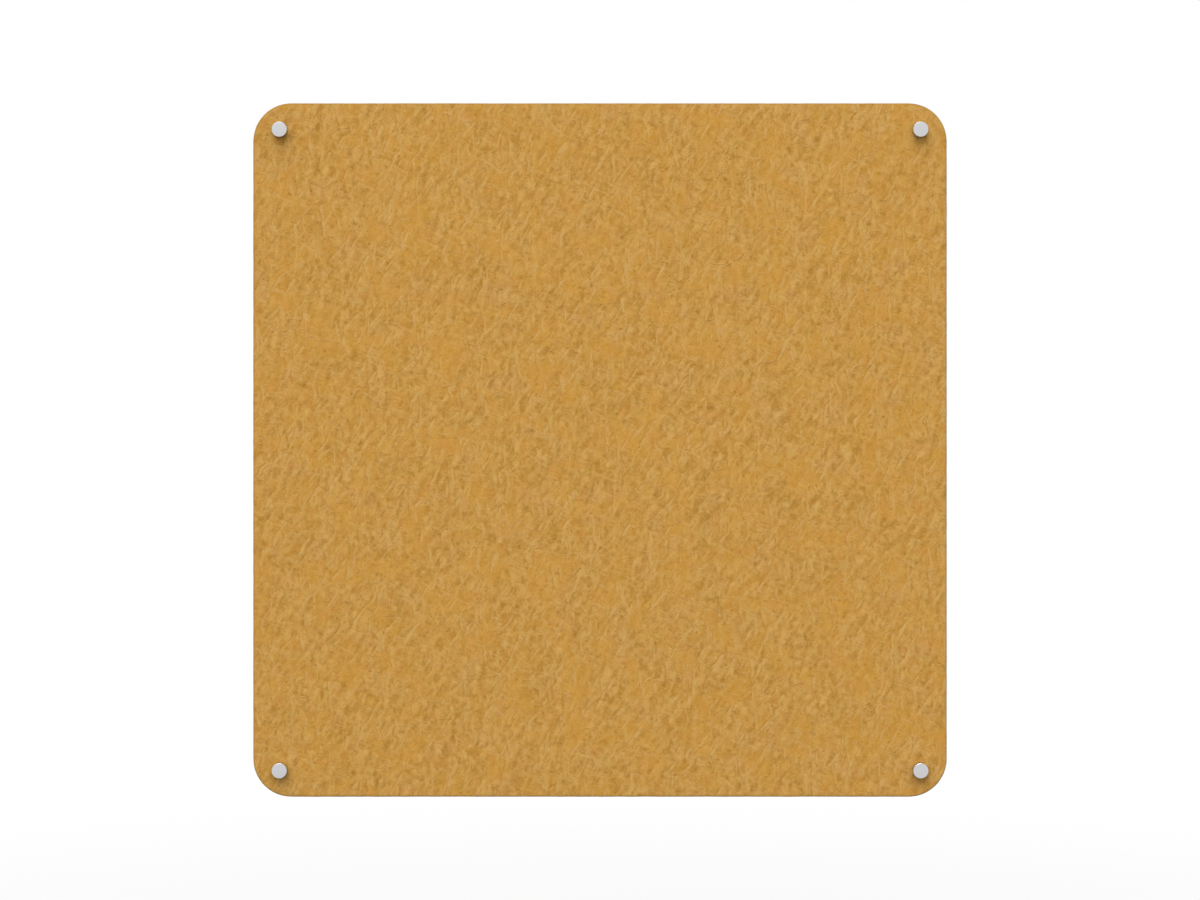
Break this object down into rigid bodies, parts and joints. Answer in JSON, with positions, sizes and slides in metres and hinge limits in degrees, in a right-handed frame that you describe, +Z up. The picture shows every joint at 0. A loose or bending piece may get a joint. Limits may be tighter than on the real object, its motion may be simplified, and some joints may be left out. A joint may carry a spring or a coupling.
{
  "type": "pinboard",
  "caption": "Square felt pinboard with rounded corners, clamped in front of a wall by turned metal stand-offs with screw-on caps near its corners.",
  "frame": {"origin": "middle of the board, taken on the wall's face", "axes": "+Y into the wall, +Z up, +X to the right for someone who faces the board"},
  "size_m": [0.6, 0.066, 0.6],
  "materials": {
    "felt": "matte",
    "satin_metal": "satin",
    "soft_washer": "matte",
    "zinc_steel": "satin",
    "grey_nylon": "matte"
  },
  "bodies": {
    "board": {"felt_board": "felt", "top_left_rear_washer": "soft_washer", "top_left_barrel": "satin_metal", "top_left_wall_screw": "zinc_steel", "top_left_wall_plug": "grey_nylon", "top_right_rear_washer": "soft_washer", "top_right_barrel": "satin_metal", "top_right_wall_screw": "zinc_steel", "top_right_wall_plug": "grey_nylon", "bottom_left_rear_washer": "soft_washer", "bottom_left_barrel": "satin_metal", "bottom_left_wall_screw": "zinc_steel", "bottom_left_wall_plug": "grey_nylon", "bottom_right_rear_washer": "soft_washer", "bottom_right_barrel": "satin_metal", "bottom_right_wall_screw": "zinc_steel", "bottom_right_wall_plug": "grey_nylon"},
    "top_left_washer": {"top_left_front_washer": "soft_washer"},
    "top_left_head": {"top_left_cap": "satin_metal"},
    "top_right_washer": {"top_right_front_washer": "soft_washer"},
    "top_right_head": {"top_right_cap": "satin_metal"},
    "bottom_left_washer": {"bottom_left_front_washer": "soft_washer"},
    "bottom_left_head": {"bottom_left_cap": "satin_metal"},
    "bottom_right_washer": {"bottom_right_front_washer": "soft_washer"},
    "bottom_right_head": {"bottom_right_cap": "satin_metal"}
  },
  "joints": [
    {"name": "top_left_travel", "type": "slide", "parent": "board", "child": "top_left_washer", "axis": [0, -1, 0], "range_m": [0, 0.0075]},
    {"name": "top_left_unscrew", "type": "hinge", "parent": "top_left_washer", "child": "top_left_head", "pos_m": [-0.2766, -0.033, 0.2766], "axis": [0, -1, 0], "range_deg": [0, 2160]},
    {"name": "top_right_travel", "type": "slide", "parent": "board", "child": "top_right_washer", "axis": [0, -1, 0], "range_m": [0, 0.0075]},
    {"name": "top_right_unscrew", "type": "hinge", "parent": "top_right_washer", "child": "top_right_head", "pos_m": [0.2766, -0.033, 0.2766], "axis": [0, -1, 0], "range_deg": [0, 2160]},
    {"name": "bottom_left_travel", "type": "slide", "parent": "board", "child": "bottom_left_washer", "axis": [0, -1, 0], "range_m": [0, 0.0075]},
    {"name": "bottom_left_unscrew", "type": "hinge", "parent": "bottom_left_washer", "child": "bottom_left_head", "pos_m": [-0.2766, -0.033, -0.2766], "axis": [0, -1, 0], "range_deg": [0, 2160]},
    {"name": "bottom_right_travel", "type": "slide", "parent": "board", "child": "bottom_right_washer", "axis": [0, -1, 0], "range_m": [0, 0.0075]},
    {"name": "bottom_right_unscrew", "type": "hinge", "parent": "bottom_right_washer", "child": "bottom_right_head", "pos_m": [0.2766, -0.033, -0.2766], "axis": [0, -1, 0], "range_deg": [0, 2160]}
  ],
  "couplings": [
    {"joint": "top_left_unscrew", "follows": "top_left_travel", "rad_per_m": 5026.5},
    {"joint": "top_right_unscrew", "follows": "top_right_travel", "rad_per_m": 5026.5},
    {"joint": "bottom_left_unscrew", "follows": "bottom_left_travel", "rad_per_m": 5026.5},
    {"joint": "bottom_right_unscrew", "follows": "bottom_right_travel", "rad_per_m": 5026.5}
  ]
}
